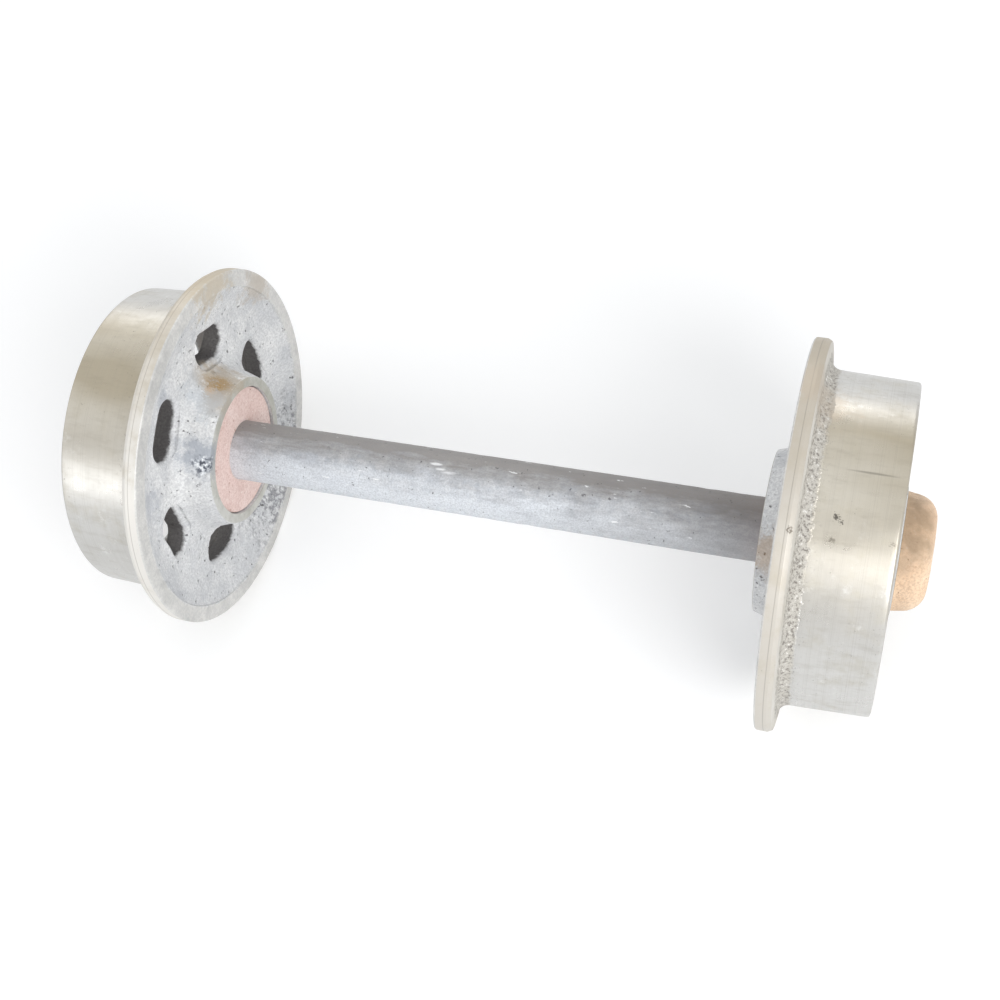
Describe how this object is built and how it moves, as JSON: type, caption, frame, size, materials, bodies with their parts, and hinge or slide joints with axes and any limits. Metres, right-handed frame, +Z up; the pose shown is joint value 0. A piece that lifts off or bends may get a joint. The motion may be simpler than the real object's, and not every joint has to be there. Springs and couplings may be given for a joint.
{
  "type": "mine car wheelset",
  "caption": "Narrow-gauge mine car wheelset: flanged cast steel wheels with oval web holes that turn on tapered roller bearings round a fixed round steel axle.",
  "frame": {"origin": "middle of the axle, on its centre line", "axes": "+X along the axle, +Y along the track, +Z up"},
  "size_m": [0.816, 0.358, 0.3579],
  "materials": {
    "axle_steel": "dull rolled bar",
    "cast_steel": "raw casting, turned bright on tread, flange tip and ring",
    "ring_primer": "matt red oxide primer",
    "seal_rubber": "matt",
    "spring_steel": "bright",
    "bearing_steel": "ground",
    "cage_steel": "pressed sheet",
    "fastener_steel": "plain",
    "cap_primer": "matt red oxide primer"
  },
  "bodies": {
    "axle_set": {"axle": "axle_steel", "left_labyrinth_ring": "ring_primer", "left_inner_cone": "bearing_steel", "left_outer_cone": "bearing_steel", "left_tab_washer": "fastener_steel", "left_castle_nut": "fastener_steel", "left_split_pin": "fastener_steel", "right_labyrinth_ring": "ring_primer", "right_inner_cone": "bearing_steel", "right_outer_cone": "bearing_steel", "right_tab_washer": "fastener_steel", "right_castle_nut": "fastener_steel", "right_split_pin": "fastener_steel"},
    "left_wheel_set": {"left_wheel": "cast_steel", "left_oil_seal": "seal_rubber", "left_garter_spring": "spring_steel", "left_inner_cup": "bearing_steel", "left_outer_cup": "bearing_steel", "left_end_cap": "cap_primer", "left_grease_plug": "fastener_steel"},
    "left_inner_roller_set": {"left_inner_cage": "cage_steel", "left_inner_rollers": "bearing_steel"},
    "left_outer_roller_set": {"left_outer_cage": "cage_steel", "left_outer_rollers": "bearing_steel"},
    "right_wheel_set": {"right_wheel": "cast_steel", "right_oil_seal": "seal_rubber", "right_garter_spring": "spring_steel", "right_inner_cup": "bearing_steel", "right_outer_cup": "bearing_steel", "right_end_cap": "cap_primer", "right_grease_plug": "fastener_steel"},
    "right_inner_roller_set": {"right_inner_cage": "cage_steel", "right_inner_rollers": "bearing_steel"},
    "right_outer_roller_set": {"right_outer_cage": "cage_steel", "right_outer_rollers": "bearing_steel"}
  },
  "joints": [
    {"name": "left_wheel_spin", "type": "hinge", "parent": "axle_set", "child": "left_wheel_set", "pos_m": [-0.28, 0, 0], "axis": [1, 0, 0], "continuous": true},
    {"name": "left_inner_roller_spin", "type": "hinge", "parent": "axle_set", "child": "left_inner_roller_set", "pos_m": [-0.3008, 0, 0], "axis": [1, 0, 0], "continuous": true},
    {"name": "left_outer_roller_spin", "type": "hinge", "parent": "axle_set", "child": "left_outer_roller_set", "pos_m": [-0.3552, 0, 0], "axis": [1, 0, 0], "continuous": true},
    {"name": "right_wheel_spin", "type": "hinge", "parent": "axle_set", "child": "right_wheel_set", "pos_m": [0.28, 0, 0], "axis": [1, 0, 0], "continuous": true},
    {"name": "right_inner_roller_spin", "type": "hinge", "parent": "axle_set", "child": "right_inner_roller_set", "pos_m": [0.3008, 0, 0], "axis": [1, 0, 0], "continuous": true},
    {"name": "right_outer_roller_spin", "type": "hinge", "parent": "axle_set", "child": "right_outer_roller_set", "pos_m": [0.3552, 0, 0], "axis": [1, 0, 0], "continuous": true}
  ],
  "couplings": [
    {"joint": "left_inner_roller_spin", "follows": "left_wheel_spin", "ratio": 0.5931},
    {"joint": "left_outer_roller_spin", "follows": "left_wheel_spin", "ratio": 0.5931},
    {"joint": "right_inner_roller_spin", "follows": "right_wheel_spin", "ratio": 0.5931},
    {"joint": "right_outer_roller_spin", "follows": "right_wheel_spin", "ratio": 0.5931}
  ]
}
